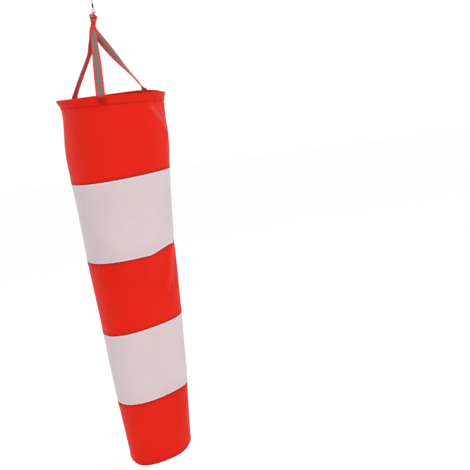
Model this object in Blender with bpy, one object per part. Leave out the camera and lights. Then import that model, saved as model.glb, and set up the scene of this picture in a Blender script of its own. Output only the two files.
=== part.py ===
"""A one-metre wind sock that hangs from a small barrel swivel.

The origin is the middle of the upper eye, where a pole arm, hook or cord takes hold of it.
+Z is up, the front of the sock faces -Y, and everything hangs below the origin.
Heights that are called "depth" count downwards from the rim of the mouth.
"""

import math

import bmesh
import bpy
from mathutils import Vector

# ---- driving dimensions, in metres ----

GAP = 0.0003                 # running and resting clearance between neighbours

# barrel swivel
WIRE_DIAMETER = 0.0015
EYE_HOLE_RADIUS = 0.0035
EYE_NECK = 0.0030
BARREL_LENGTH = 0.0115
BARREL_DIAMETER = 0.0048
BARREL_END = 0.0015          # thickness of each end wall of the barrel
HEAD_OVERHANG = 0.0004       # how far a stem's head is wider than its hole
HEAD_LENGTH = 0.0014
BAIL_NECK = 0.0027
BAIL_HEIGHT = 0.0108
BAIL_CORNER = 0.0021         # bend radius of the lower bail
BAR_STRAIGHT = 0.0050        # straight length of the bar that the webbing rides on

# webbing
WEB_WIDTH = 0.025
WEB_THICKNESS = 0.0012
WEB_IN_BAIL = 0.0046         # gathered width where the loop passes through the bail
WEB_AT_PINCH = 0.013         # gathered width at the pinch
LOOP_WIDTH = 0.022           # widest place of the hanging loop
LOOP_DROP = 0.026            # bar of the bail to the pinch
LOOP_TAIL = 0.016            # sewn overlap below the pinch
TAPE_WIDTH = 0.0125
TAPE_THICKNESS = 0.0003
TAPE_STOP = 0.004            # webbing left bare below the tape's lower end
BRIDLE_DROP = 0.205          # pinch to the rim of the mouth
STRAP_BEND = 0.010           # bend radius where a strap leaves the pinch
RIM_BEND = 0.006             # bend radius where a strap turns down into the hem
LEG_LENGTH = 0.022           # strap that lies inside the hem
REAR_SPREAD = 1.5            # slack between the two rear straps, in shares of what their lean adds
FRONT_ANGLE = -10.0          # degrees round the mouth from the front, towards +X
RIGHT_ANGLE = 136.0
LEFT_ANGLE = -134.0

# sock
MOUTH_DIAMETER = 0.296
TAIL_DIAMETER = 0.175
BAND_LENGTH = 0.208
TAIL_BAND_LENGTH = 0.184     # the last band, which loses its turned-up hem
CLOTH = 0.0010               # wall of each cloth shell
SEAM_LAP = 0.010
JOGGLE = 0.006               # length over which a lapped edge comes out to full size
HEM_DEPTH = 0.024
HOOP_WIRE = 0.0024
FERRULE_WALL = 0.0004
HOOP_PLAY = 0.0010           # space between the hoop's two ends inside the ferrule
THREAD = 0.0007
FLATTEN = 0.17               # how far the empty tube has flattened at its tail
FLATTEN_YAW = 27.0           # degrees that the flattened tube is turned from straight across
MOUTH_SHIFT = (0.010, -0.008)  # the mouth hangs this far beside the eye, the tail right under it

BAND_COLOURS = ("red", "white", "red", "white", "red")
SIDES = 40                   # facets round the sock
WIRE_SIDES = 8
STRAP_STEP = 0.008           # longest straight stretch of a modelled strap

# ---- sizes that follow ----

WIRE_RADIUS = WIRE_DIAMETER / 2
EYE_RING_RADIUS = EYE_HOLE_RADIUS + WIRE_RADIUS
BARREL_TOP = -(EYE_RING_RADIUS + WIRE_RADIUS + EYE_NECK)
BARREL_BOTTOM = BARREL_TOP - BARREL_LENGTH
STEM_BORE = WIRE_RADIUS + GAP
HEAD_RADIUS = STEM_BORE + HEAD_OVERHANG
CAVITY_RADIUS = HEAD_RADIUS + GAP
BAR_HEIGHT = BARREL_BOTTOM - BAIL_NECK - BAIL_HEIGHT
PINCH_HEIGHT = BAR_HEIGHT - LOOP_DROP
RIM_HEIGHT = PINCH_HEIGHT - BRIDLE_DROP
LAYER = WEB_THICKNESS + GAP  # pitch of the stacked webbing at the pinch
STRAP_LEAN = math.atan2(MOUTH_DIAMETER / 2, BRIDLE_DROP)
REAR_PLAY = REAR_SPREAD * WEB_THICKNESS * (1 / math.cos(STRAP_LEAN) - 1)

SOCK_LENGTH = BAND_LENGTH * (len(BAND_COLOURS) - 1) + TAIL_BAND_LENGTH
BODY_RADIUS = MOUTH_DIAMETER / 2 - CLOTH - GAP
TAIL_RADIUS = TAIL_DIAMETER / 2
FERRULE_RADIUS = HOOP_WIRE / 2 + GAP + FERRULE_WALL
HOOP_DEPTH = CLOTH + GAP + FERRULE_RADIUS
HOOP_OFFSET = -FERRULE_RADIUS
POCKET = 2 * FERRULE_RADIUS + 2 * GAP
POCKET_BOTTOM = HOOP_DEPTH + FERRULE_RADIUS + GAP
HEM_INSIDE = GAP - POCKET - CLOTH
THREAD_RADIUS = THREAD / 2
FACET = math.cos(math.pi / SIDES)
BACK_COLUMN = round((90 - FLATTEN_YAW) / 360 * SIDES)


# ---- building meshes ----

def material(name, colour, roughness, metallic=0.0):
    made = bpy.data.materials.new(name)
    made.use_nodes = True
    shader = made.node_tree.nodes["Principled BSDF"]
    shader.inputs["Base Color"].default_value = (*colour, 1.0)
    shader.inputs["Roughness"].default_value = roughness
    shader.inputs["Metallic"].default_value = metallic
    return made


def solid(name, rings, look, closed, twist_split=0):
    """One closed body through equal rings of points: a full circuit, or a run with end caps.

    A twisted ribbon states how many points its lower face has, so that its two faces are split
    along the same diagonals and stay parallel.
    """
    mesh = bpy.data.meshes.new(name)
    body = bmesh.new()
    rows = [[body.verts.new(point) for point in ring] for ring in rings]
    round_about = len(rows[0])
    for index in range(len(rows) if closed else len(rows) - 1):
        here = rows[index]
        there = rows[(index + 1) % len(rows)]
        for side in range(round_about):
            step = (side + 1) % round_about
            if not twist_split:
                body.faces.new((here[side], here[step], there[step], there[side]))
            elif side < twist_split:
                body.faces.new((here[side], here[step], there[step]))
                body.faces.new((here[side], there[step], there[side]))
            else:
                body.faces.new((here[side], here[step], there[side]))
                body.faces.new((here[step], there[step], there[side]))
    if not closed:
        body.faces.new(rows[0])
        body.faces.new(rows[-1])
    bmesh.ops.recalc_face_normals(body, faces=body.faces)
    body.to_mesh(mesh)
    body.free()
    mesh.shade_smooth()
    mesh.set_sharp_from_angle(angle=math.radians(35))
    mesh.materials.append(look)
    made = bpy.data.objects.new(name, mesh)
    bpy.context.scene.collection.objects.link(made)
    return made


def set_pivot(made, place):
    """Puts an object's origin on the axis that it turns about."""
    for vertex in made.data.vertices:
        vertex.co -= place
    made.location = place


def circle(centre, across, up, radius, sides):
    turns = [2 * math.pi * side / sides for side in range(sides)]
    return [centre + radius * (math.cos(t) * across + math.sin(t) * up) for t in turns]


def directions(points):
    found = []
    for index in range(len(points)):
        before = points[max(index - 1, 0)]
        after = points[min(index + 1, len(points) - 1)]
        found.append((after - before).normalized())
    return found


def ease(value):
    value = min(max(value, 0.0), 1.0)
    return value * value * (3 - 2 * value)


def arc(centre, radius, first, last, count):
    """Points of an arc in a plane, as (across, up) pairs; angles in degrees."""
    spread = [math.radians(first + (last - first) * i / count) for i in range(count + 1)]
    return [(centre[0] + radius * math.cos(t), centre[1] + radius * math.sin(t)) for t in spread]


def bent_wire(name, outline, plane, radii, look):
    """Round wire bent in one plane: `plane` turns an (across, up) pair into a place."""
    points = [plane(pair) for pair in outline]
    flat = (plane((1, 0)) - plane((0, 0))).cross(plane((0, 1)) - plane((0, 0)))
    rings = []
    for point, along, radius in zip(points, directions(points), radii):
        inwards = along.cross(flat).normalized()
        rings.append(circle(point, flat.normalized(), inwards, radius, WIRE_SIDES))
    return solid(name, rings, look, closed=False)


# ---- swivel ----

def stem(foot, throat, step):
    """The headed end of a swivel wire: heights and radii, from the head's end to the throat."""
    heights = [foot, foot + step * HEAD_LENGTH, foot + step * HEAD_LENGTH, throat]
    return heights, [HEAD_RADIUS, HEAD_RADIUS, WIRE_RADIUS, WIRE_RADIUS]


def make_upper_eye(look):
    foot = BARREL_TOP - BARREL_END - GAP - HEAD_LENGTH
    throat = -EYE_RING_RADIUS - EYE_NECK * 0.7
    heights, radii = stem(foot, throat, 1)
    shoulder = [
        (EYE_RING_RADIUS * 0.12, throat + EYE_NECK * 0.42),
        (EYE_RING_RADIUS * 0.30, -EYE_RING_RADIUS * 0.99),
    ]
    outline = [(0, height) for height in heights] + shoulder
    outline += arc((0, 0), EYE_RING_RADIUS, -58, 238, 22)
    radii += [WIRE_RADIUS] * (len(outline) - len(radii))
    bent_wire("swivel_upper_eye", outline, lambda pair: Vector((0, pair[0], pair[1])), radii, look)


def make_barrel(look):
    top = BARREL_TOP
    bottom = BARREL_BOTTOM
    outside = BARREL_DIAMETER / 2
    chamfer = outside * 0.25
    profile = [
        (STEM_BORE, top), (outside - chamfer, top), (outside, top - chamfer),
        (outside, bottom + chamfer), (outside - chamfer, bottom), (STEM_BORE, bottom),
        (STEM_BORE, bottom + BARREL_END), (CAVITY_RADIUS, bottom + BARREL_END),
        (CAVITY_RADIUS, top - BARREL_END), (STEM_BORE, top - BARREL_END),
    ]
    rings = [circle(Vector((0, 0, height)), Vector((1, 0, 0)), Vector((0, 1, 0)), radius, 20)
             for radius, height in profile]
    set_pivot(solid("swivel_barrel", rings, look, closed=True), Vector((0, 0, bottom)))


def make_lower_eye(look):
    """A wire bail: a rounded triangle with a straight bar across its foot."""
    foot = BARREL_BOTTOM + BARREL_END + GAP + HEAD_LENGTH
    crown = BARREL_BOTTOM - BAIL_NECK
    heights, radii = stem(foot, crown + WIRE_RADIUS, -1)
    low = BAR_HEIGHT + BAIL_CORNER
    high = crown - BAIL_CORNER
    half = BAR_STRAIGHT / 2
    lean = math.degrees(math.atan2(half, high - low))
    outline = [(0, height) for height in heights]
    outline += [(BAIL_CORNER * 0.35, crown - BAIL_CORNER * 0.12)]
    outline += arc((0, high), BAIL_CORNER, 50, lean, 3)
    outline += arc((half, low), BAIL_CORNER, lean, -90, 6)
    outline += arc((-half, low), BAIL_CORNER, -90, -180 - lean, 6)
    outline += arc((0, high), BAIL_CORNER, 180 - lean, 160, 1)
    radii += [WIRE_RADIUS] * (len(outline) - len(radii))
    made = bent_wire("swivel_lower_eye", outline, lambda pair: Vector((pair[0], 0, pair[1])), radii, look)
    set_pivot(made, Vector((0, 0, BARREL_BOTTOM)))


# ---- webbing ----

def rounded_path(corners, bends, steps=5):
    """A line through corners, each inner corner turned into an arc of its own bend radius."""
    points = [corners[0]]
    for index, bend in enumerate(bends, start=1):
        corner = corners[index]
        arrive = (corner - corners[index - 1]).normalized()
        leave = (corners[index + 1] - corner).normalized()
        turn = arrive.angle(leave)
        back = bend * math.tan(turn / 2)
        centre = corner + (leave - arrive).normalized() * bend / math.cos(turn / 2)
        spoke = corner - arrive * back - centre
        hub = arrive.cross(leave).normalized()
        for step in range(steps + 1):
            swing = turn * step / steps
            points.append(centre + spoke * math.cos(swing) + hub.cross(spoke) * math.sin(swing))
    points.append(corners[-1])
    return points


def divide(points, longest):
    """Adds points to every stretch that is longer than `longest`."""
    fine = [points[0]]
    for start, end in zip(points, points[1:]):
        parts = max(1, math.ceil((end - start).length / longest))
        fine += [start.lerp(end, part / parts) for part in range(1, parts + 1)]
    return fine


def ribbon(name, points, faces, breadths, thickness, lift, look):
    """Flat webbing: `faces` are the directions its outer face looks, `lift` moves it that way.

    `breadths` holds, for each point, the places across the webbing where it has an edge or a line.
    """
    rings = []
    for point, along, face, breadth in zip(points, directions(points), faces, breadths):
        normal = (face - face.project(along)).normalized()
        across = along.cross(normal).normalized()
        middle = point + normal * lift
        half = normal * thickness / 2
        rings.append([middle + across * x - half for x in breadth]
                     + [middle + across * x + half for x in reversed(breadth)])
    return solid(name, rings, look, closed=False, twist_split=len(breadths[0]))


def stitch_box(name, centre, across, up, width, height, look):
    """A line of thread sewn as a box, lying just off the face that it holds."""
    out = across.cross(up).normalized()
    rings = []
    for grow, lift in ((1, 1), (-1, 1), (-1, -1), (1, -1)):
        half_width = width / 2 + grow * THREAD_RADIUS
        half_height = height / 2 + grow * THREAD_RADIUS
        middle = centre + out * lift * THREAD_RADIUS
        rings.append([middle + across * x * half_width + up * y * half_height
                      for x, y in ((-1, -1), (1, -1), (1, 1), (-1, 1))])
    return solid(name, rings, look, closed=True)


def make_hang_loop(look, thread):
    """Webbing gathered through the bail; its two tails hold the straps between them."""
    wrap = WIRE_RADIUS + GAP + WEB_THICKNESS / 2
    fore = -2 * LAYER
    aft = 2 * LAYER + REAR_PLAY
    tail = PINCH_HEIGHT - LOOP_TAIL
    over = arc((0, BAR_HEIGHT), wrap, 180, 0, 10)
    front = [(fore, tail), (fore, PINCH_HEIGHT)]
    back = [(aft, PINCH_HEIGHT), (aft, tail)]
    points = divide([Vector((0, y, z)) for y, z in front + over + back], LOOP_DROP / 8)
    faces = []
    for along in directions(points):
        faces.append(Vector((0, -along.z, along.y)))
    halves = [loop_width(point.z - PINCH_HEIGHT) / 2 for point in points]
    made = ribbon("hang_loop", points, faces, [(-half, half) for half in halves], WEB_THICKNESS, 0, look)
    set_pivot(made, Vector((0, 0, BAR_HEIGHT)))
    lift = WEB_THICKNESS / 2 + GAP + THREAD_RADIUS
    middle = PINCH_HEIGHT - LOOP_TAIL / 2
    for side, place in (("front", fore - lift), ("back", aft + lift)):
        stitch_box("apex_stitch_" + side, Vector((0, place, middle)), Vector((1, 0, 0)),
                   Vector((0, 0, 1)), WEB_AT_PINCH * 0.7, LOOP_TAIL * 0.7, thread)


def loop_width(rise):
    """Width of the gathered loop at a height above the pinch."""
    widest = LOOP_DROP * 0.45
    narrow = LOOP_DROP - 4 * WIRE_RADIUS
    if rise < widest:
        return WEB_AT_PINCH + (LOOP_WIDTH - WEB_AT_PINCH) * ease(rise / widest)
    return LOOP_WIDTH + (WEB_IN_BAIL - LOOP_WIDTH) * ease((rise - widest) / (narrow - widest))


def around(angle):
    """The level direction at an angle from the front, in degrees towards +X."""
    return Vector((math.sin(math.radians(angle)), -math.cos(math.radians(angle)), 0))


def strap_corners(angle, back):
    """Pinch, split, rim and lower end of a strap: its angle round the mouth, its place in the stack."""
    wall = (sock_radii(POCKET_BOTTOM)[0] + HEM_INSIDE) * FACET
    edges_clear = math.sqrt((wall - GAP) ** 2 - (WEB_WIDTH / 2) ** 2)
    tape_clear = math.sqrt((wall - GAP) ** 2 - (TAPE_WIDTH / 2) ** 2) - GAP - TAPE_THICKNESS
    leg = around(angle) * (min(edges_clear, tape_clear) - WEB_THICKNESS / 2)
    leg += sideways(LEG_LENGTH / 2)
    start = Vector((0, back, PINCH_HEIGHT - GAP))
    split = Vector((0, back, PINCH_HEIGHT - LOOP_TAIL - STRAP_BEND / 2))
    return [start, split, leg + Vector((0, 0, RIM_HEIGHT + RIM_BEND / 2)),
            leg + Vector((0, 0, RIM_HEIGHT - LEG_LENGTH))]


def make_strap(name, angle, back, turns, web, tape, thread):
    """One strap from the pinch to the hem.

    It stays level from side to side until it is clear of the others. Then its outer face turns
    through the angles in `turns`, the last one where it is sewn flat against the hem.
    """
    corners = strap_corners(angle, back)
    points = divide(rounded_path(corners, (STRAP_BEND, RIM_BEND)), STRAP_STEP)
    total = sum((b - a).length for a, b in zip(points, points[1:]))
    run = 0.0
    faces = []
    halves = []
    taped = []
    outward = -math.copysign(1, around(turns[0]).y)
    for index, (point, along) in enumerate(zip(points, directions(points))):
        run += (point - points[index - 1]).length if index else 0.0
        share = run / total
        turn = turns[0] + (turns[1] - turns[0]) * ease((share - 0.15) / 0.6)
        turn += (turns[2] - turns[1]) * ease((share - 0.76) / 0.14)
        level = along.cross(Vector((1, 0, 0))).normalized() * outward
        faces.append(level.lerp(around(turn), ease((share - 0.15) / 0.2)))
        halves.append((WEB_AT_PINCH + (WEB_WIDTH - WEB_AT_PINCH) * ease(share / 0.65)) / 2)
        if LOOP_TAIL * 1.3 < run < total - TAPE_STOP:
            taped.append(index)
    inner = [half * TAPE_WIDTH / WEB_WIDTH for half in halves]
    ribbon("strap_" + name, points, faces, [(-a, -b, b, a) for a, b in zip(halves, inner)],
           WEB_THICKNESS, 0, web)
    lift = WEB_THICKNESS / 2 + GAP + TAPE_THICKNESS / 2
    ribbon("tape_" + name, [points[i] for i in taped], [faces[i] for i in taped],
           [(-inner[i], inner[i]) for i in taped], TAPE_THICKNESS, lift, tape)
    out = around(angle)
    middle = corners[3] + Vector((0, 0, LEG_LENGTH * 0.45))
    middle -= out * (WEB_THICKNESS / 2 + GAP + THREAD_RADIUS)
    stitch_box("stitch_" + name, middle, out.cross(Vector((0, 0, 1))), Vector((0, 0, 1)),
               WEB_WIDTH * 0.7, LEG_LENGTH * 0.6, thread)


def make_straps(web, tape, thread):
    """The stack at the pinch, from the front: the front strap, the right one and the left one."""
    make_strap("front", FRONT_ANGLE, -LAYER, (0, FRONT_ANGLE, FRONT_ANGLE), web, tape, thread)
    make_strap("right", RIGHT_ANGLE, 0, (0, 92, RIGHT_ANGLE), web, tape, thread)
    make_strap("left", LEFT_ANGLE, LAYER + REAR_PLAY, (-180, LEFT_ANGLE, LEFT_ANGLE), web, tape, thread)


# ---- sock ----

def sock_radii(depth):
    """Half widths of the hanging tube along and across its flattening, at a depth below the rim."""
    radius = BODY_RADIUS + (TAIL_RADIUS - BODY_RADIUS) * depth / SOCK_LENGTH
    below_hem = max(depth - HEM_DEPTH, 0.0) / (SOCK_LENGTH - HEM_DEPTH)
    flat = FLATTEN * (1 - (1 - below_hem) ** 2)
    return radius * (1 + flat), radius * (1 - flat)


def sock_point(depth, offset, column):
    """A place on the sock's outer face, moved outwards by an offset."""
    wide, narrow = sock_radii(depth)
    turn = 2 * math.pi * column / SIDES
    yaw = math.radians(FLATTEN_YAW)
    across = (wide + offset) * math.cos(turn)
    along = (narrow + offset) * math.sin(turn)
    x = across * math.cos(yaw) - along * math.sin(yaw)
    y = across * math.sin(yaw) + along * math.cos(yaw)
    return Vector((x, y, RIM_HEIGHT - depth)) + sideways(depth)


def sideways(depth):
    """How far the sock's centre lies from the line under the eye."""
    return Vector((*MOUTH_SHIFT, 0)) * (1 - depth / SOCK_LENGTH)


def sock_shell(name, profile, look):
    rings = [[sock_point(depth, offset, column) for column in range(SIDES)] for depth, offset in profile]
    return solid(name, rings, look, closed=True)


def thread_ring(name, depth, offset, look):
    """A row of stitching right round the sock."""
    centre = offset + GAP + THREAD_RADIUS
    corners = ((-1, 0), (0, 1), (1, 0), (0, -1))
    profile = [(depth + down * THREAD_RADIUS, centre + out * THREAD_RADIUS) for down, out in corners]
    return sock_shell(name, profile, look)


def make_hem(look, thread):
    """A casing folded over the hoop; below it, the hem grips the top edge of the first band."""
    outer = GAP + CLOTH
    inner = -CLOTH - GAP
    closing = POCKET_BOTTOM + (POCKET - CLOTH - 2 * GAP)
    profile = [
        (0, outer), (HEM_DEPTH, outer), (HEM_DEPTH, GAP), (CLOTH, GAP), (CLOTH, GAP - POCKET),
        (POCKET_BOTTOM, GAP - POCKET), (closing, inner), (HEM_DEPTH, inner),
        (HEM_DEPTH, inner - CLOTH), (closing, inner - CLOTH), (POCKET_BOTTOM, HEM_INSIDE), (0, HEM_INSIDE),
    ]
    sock_shell("mouth_hem", profile, look)
    thread_ring("hem_thread", HEM_DEPTH - 4 * THREAD, outer, thread)


def hoop_path():
    """The hoop's corners, once round from the back."""
    return [sock_point(HOOP_DEPTH, HOOP_OFFSET, BACK_COLUMN + step) for step in range(SIDES + 1)]


def pipe_rings(points, radius):
    up = Vector((0, 0, 1))
    rings = []
    for point, along in zip(points, directions(points)):
        rings.append(circle(point, along.cross(up).normalized(), up, radius, WIRE_SIDES))
    return rings


def make_hoop(look, sleeve):
    path = hoop_path()
    inset = HOOP_PLAY / 2 / (path[1] - path[0]).length
    ends = (path[0].lerp(path[1], inset), path[-1].lerp(path[-2], inset))
    solid("hoop", pipe_rings([ends[0], *path[1:-1], ends[1]], HOOP_WIRE / 2), look, closed=False)
    sleeve_path = [path[-2].lerp(path[-1], 0.5), path[0], path[0].lerp(path[1], 0.5)]
    outside = pipe_rings(sleeve_path, FERRULE_RADIUS)
    inside = pipe_rings(sleeve_path, FERRULE_RADIUS - FERRULE_WALL)
    solid("hoop_ferrule", outside + inside[::-1], sleeve, closed=True)


def make_band(number, colour, look, thread, side_thread):
    """One stripe: its top edge is tucked inside the stripe above, or into the hem."""
    top = BAND_LENGTH * (number - 1)
    last = number == len(BAND_COLOURS)
    bottom = top + (TAIL_BAND_LENGTH if last else BAND_LENGTH)
    tucked = -CLOTH - GAP
    if number == 1:
        outer = [(HEM_DEPTH - SEAM_LAP, 0), (HEM_DEPTH + GAP, 0)]
    else:
        outer = [(top - SEAM_LAP, tucked), (top + GAP, tucked), (top + JOGGLE, 0)]
    middle = (outer[-1][0] + bottom) / 2
    outer += [(middle, 0), (bottom, 0)]
    inner = [(depth, offset - CLOTH) for depth, offset in reversed(outer)]
    name = "band_%d_%s" % (number, colour)
    made = sock_shell(name, outer + inner, look)
    if number > 1:
        set_pivot(made, Vector((0, 0, RIM_HEIGHT - (top + bottom) / 2)))
    label = "tail_hem_thread" if last else "seam_%d_thread" % number
    thread_ring(label, bottom - SEAM_LAP / 2, 0, thread)
    lift = GAP + THREAD_RADIUS
    first = HEM_DEPTH + SEAM_LAP / 2 if number == 1 else top + JOGGLE
    stations = (first + GAP, middle, bottom - SEAM_LAP)
    column = [sock_point(depth, lift, BACK_COLUMN) for depth in stations]
    side = Vector((1, 0, 0))
    rings = [circle(point, side, Vector((0, 1, 0)), THREAD_RADIUS, 4) for point in column]
    solid("side_seam_%d_thread" % number, rings, side_thread, closed=False)


# ---- assembly ----

for leftover in list(bpy.data.objects):
    bpy.data.objects.remove(leftover, do_unlink=True)

metal = material("swivel steel", (0.06, 0.07, 0.07), 0.35, 1.0)
spring_steel = material("hoop steel", (0.45, 0.45, 0.46), 0.40, 1.0)
crimp = material("ferrule", (0.55, 0.56, 0.58), 0.35, 1.0)
red_web = material("red webbing", (0.62, 0.035, 0.04), 0.80)
grey_tape = material("reflective tape", (0.19, 0.15, 0.12), 0.45)
red_cloth = material("red cloth", (0.80, 0.030, 0.016), 0.60)
white_cloth = material("white cloth", (0.72, 0.62, 0.62), 0.60)
red_thread = material("red thread", (0.35, 0.010, 0.012), 0.70)
white_thread = material("white thread", (0.80, 0.72, 0.72), 0.70)

make_upper_eye(metal)
make_barrel(metal)
make_lower_eye(metal)
make_hang_loop(red_web, red_thread)
make_straps(red_web, grey_tape, red_thread)
make_hem(red_cloth, red_thread)
make_hoop(spring_steel, crimp)
looks = {"red": (red_cloth, red_thread), "white": (white_cloth, white_thread)}
for count, stripe in enumerate(BAND_COLOURS, start=1):
    cloth, side_thread = looks[stripe]
    make_band(count, stripe, cloth, red_thread, side_thread)
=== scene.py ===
"""A one-metre wind sock in red and white cloth, hanging from its swivel in a plain white studio."""

import math

import bmesh
import bpy
import numpy as np
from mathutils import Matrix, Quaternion, Vector


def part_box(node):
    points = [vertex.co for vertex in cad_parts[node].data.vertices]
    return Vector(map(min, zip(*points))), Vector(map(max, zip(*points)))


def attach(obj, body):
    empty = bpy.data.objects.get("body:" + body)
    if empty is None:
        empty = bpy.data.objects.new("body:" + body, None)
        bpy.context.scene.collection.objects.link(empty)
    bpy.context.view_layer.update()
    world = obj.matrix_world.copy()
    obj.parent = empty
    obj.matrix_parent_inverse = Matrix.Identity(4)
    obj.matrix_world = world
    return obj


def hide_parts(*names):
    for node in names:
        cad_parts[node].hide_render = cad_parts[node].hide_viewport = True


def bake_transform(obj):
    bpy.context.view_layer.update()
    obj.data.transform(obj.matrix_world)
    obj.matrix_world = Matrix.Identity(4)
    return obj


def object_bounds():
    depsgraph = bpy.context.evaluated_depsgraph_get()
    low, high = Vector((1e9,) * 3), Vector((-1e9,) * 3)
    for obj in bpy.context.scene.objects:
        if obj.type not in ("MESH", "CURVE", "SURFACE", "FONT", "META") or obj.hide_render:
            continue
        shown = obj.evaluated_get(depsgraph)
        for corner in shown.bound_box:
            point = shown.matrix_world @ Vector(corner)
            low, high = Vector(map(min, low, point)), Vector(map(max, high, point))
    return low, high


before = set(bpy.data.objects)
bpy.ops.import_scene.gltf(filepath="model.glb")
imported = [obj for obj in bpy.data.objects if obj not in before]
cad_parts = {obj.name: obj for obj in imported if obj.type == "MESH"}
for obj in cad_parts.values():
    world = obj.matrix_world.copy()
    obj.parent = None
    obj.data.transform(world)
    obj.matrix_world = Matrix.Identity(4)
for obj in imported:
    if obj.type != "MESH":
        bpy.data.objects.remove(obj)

cad_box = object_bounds()

# ---- the studio ----
# A camera a step away and a little above the mouth, leaning with the sock. The floor is one
# pale matt disc, lit by a white room, a large soft lamp at the front and a softer one behind.

CAMERA_PLACE = (0.0296, -2.4569, -0.2999)
CAMERA_YAW, CAMERA_PITCH, CAMERA_ROLL = (math.radians(a) for a in (6.21, -9.03, -7.91))
FIELD_OF_VIEW = math.radians(30)
FLOOR_DROP = 0.17            # floor below the tail

camera = bpy.data.objects.new("camera", bpy.data.cameras.new("camera"))
bpy.context.scene.collection.objects.link(camera)
bpy.context.scene.camera = camera
camera.data.angle = FIELD_OF_VIEW
camera.location = CAMERA_PLACE
line_of_sight = Vector((math.sin(CAMERA_YAW) * math.cos(CAMERA_PITCH),
                        math.cos(CAMERA_YAW) * math.cos(CAMERA_PITCH), math.sin(CAMERA_PITCH)))
camera.rotation_mode = "QUATERNION"
camera.rotation_quaternion = (Quaternion(line_of_sight, -CAMERA_ROLL)
                              @ line_of_sight.to_track_quat("-Z", "Y"))


def lamp(name, place, aim, size, power):
    made = bpy.data.objects.new(name, bpy.data.lights.new(name, "AREA"))
    made.data.shape = "DISK"
    made.data.size = size
    made.data.energy = power
    made.location = place
    made.rotation_mode = "QUATERNION"
    made.rotation_quaternion = (Vector(aim) - Vector(place)).to_track_quat("-Z", "Y")
    bpy.context.scene.collection.objects.link(made)


lamp("front lamp", (1.3, -2.5, 0.9), (0, 0, -0.6), 2.0, 22)
lamp("back lamp", (-1.2, 2.4, 0.8), (0, 0, -0.7), 2.4, 8)

bpy.context.scene.view_settings.view_transform = "Standard"
room = bpy.data.worlds.new("room")
bpy.context.scene.world = room
room.use_nodes = True
room.node_tree.nodes["Background"].inputs["Color"].default_value = (1, 1, 1, 1)
room.node_tree.nodes["Background"].inputs["Strength"].default_value = 1.03


def put_in_scene(name, mesh, finish):
    mesh.materials.append(finish)
    mesh.shade_smooth()
    made = bpy.data.objects.new(name, mesh)
    bpy.context.scene.collection.objects.link(made)
    return made


def finish_of(name, colour, roughness, metallic=0.0):
    """A new finish: its material, its node tree and its shader."""
    made = bpy.data.materials.new(name)
    made.use_nodes = True
    shader = made.node_tree.nodes["Principled BSDF"]
    shader.inputs["Base Color"].default_value = (*colour, 1)
    shader.inputs["Roughness"].default_value = roughness
    shader.inputs["Metallic"].default_value = metallic
    return made, made.node_tree, shader


floor_paint = finish_of("floor paint", (0.95, 0.95, 0.95), 0.95)[0]
floor_mesh = bpy.data.meshes.new("floor")
disc = bmesh.new()
bmesh.ops.create_circle(disc, cap_ends=True, radius=14, segments=64)
disc.to_mesh(floor_mesh)
disc.free()
floor = put_in_scene("floor", floor_mesh, floor_paint)
floor.location.z = cad_box[0].z - FLOOR_DROP

# ---- barrel swivel ----
# Two bent wires, an eye above and a bail below, whose headed stems turn in a small rolled barrel.
# All three are dark plated steel, mottled a little all over.

WIRE = 0.00075
eye_low, eye_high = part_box("swivel_upper_eye")
barrel_low, barrel_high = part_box("swivel_barrel")
bail_low, bail_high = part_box("swivel_lower_eye")
EYE_RING = eye_high.z - WIRE
BAIL_BEND = 0.0021


def link(tree, start, outlet, end, inlet):
    tree.links.new(start.outputs[outlet], end.inputs[inlet])


def texture(tree, kind, scale, detail=2.0, where="Object"):
    """A pattern node that follows the piece's own coordinates."""
    place = tree.nodes.new("ShaderNodeTexCoord")
    made = tree.nodes.new(kind)
    made.inputs["Scale"].default_value = scale
    if "Detail" in made.inputs:
        made.inputs["Detail"].default_value = detail
    link(tree, place, where, made, "Vector")
    return made


def tinted(tree, shader, source, outlet, low, high, stops=(0.35, 0.65)):
    """Colours the shader between two tints by a pattern."""
    ramp = tree.nodes.new("ShaderNodeValToRGB")
    ramp.color_ramp.elements[0].position = stops[0]
    ramp.color_ramp.elements[1].position = stops[1]
    ramp.color_ramp.elements[0].color = (*low, 1)
    ramp.color_ramp.elements[1].color = (*high, 1)
    link(tree, source, outlet, ramp, "Fac")
    link(tree, ramp, "Color", shader, "Base Color")
    return ramp


def roughened(tree, shader, source, outlet, low, high):
    span = tree.nodes.new("ShaderNodeMapRange")
    span.inputs["To Min"].default_value = low
    span.inputs["To Max"].default_value = high
    link(tree, source, outlet, span, "Value")
    link(tree, span, "Result", shader, "Roughness")


def bumped(tree, shader, source, outlet, depth, strength=0.5, under=None):
    bump = tree.nodes.new("ShaderNodeBump")
    bump.inputs["Distance"].default_value = depth
    bump.inputs["Strength"].default_value = strength
    link(tree, source, outlet, bump, "Height")
    if under:
        link(tree, under, "Normal", bump, "Normal")
    link(tree, bump, "Normal", shader, "Normal")
    return bump


swivel_steel, nodes, shader = finish_of("swivel steel", (0.06, 0.07, 0.07), 0.3, 1.0)
rubbed = texture(nodes, "ShaderNodeTexNoise", 900, 4)
tinted(nodes, shader, rubbed, "Fac", (0.018, 0.024, 0.024), (0.07, 0.08, 0.08))
roughened(nodes, shader, rubbed, "Fac", 0.22, 0.45)
bumped(nodes, shader, texture(nodes, "ShaderNodeTexNoise", 2600), "Fac", 0.00004)


def arc(centre, radius, first, last, count):
    turns = np.radians(np.linspace(first, last, count + 1))
    return np.column_stack([centre[0] + radius * np.cos(turns), centre[1] + radius * np.sin(turns)])


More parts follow.
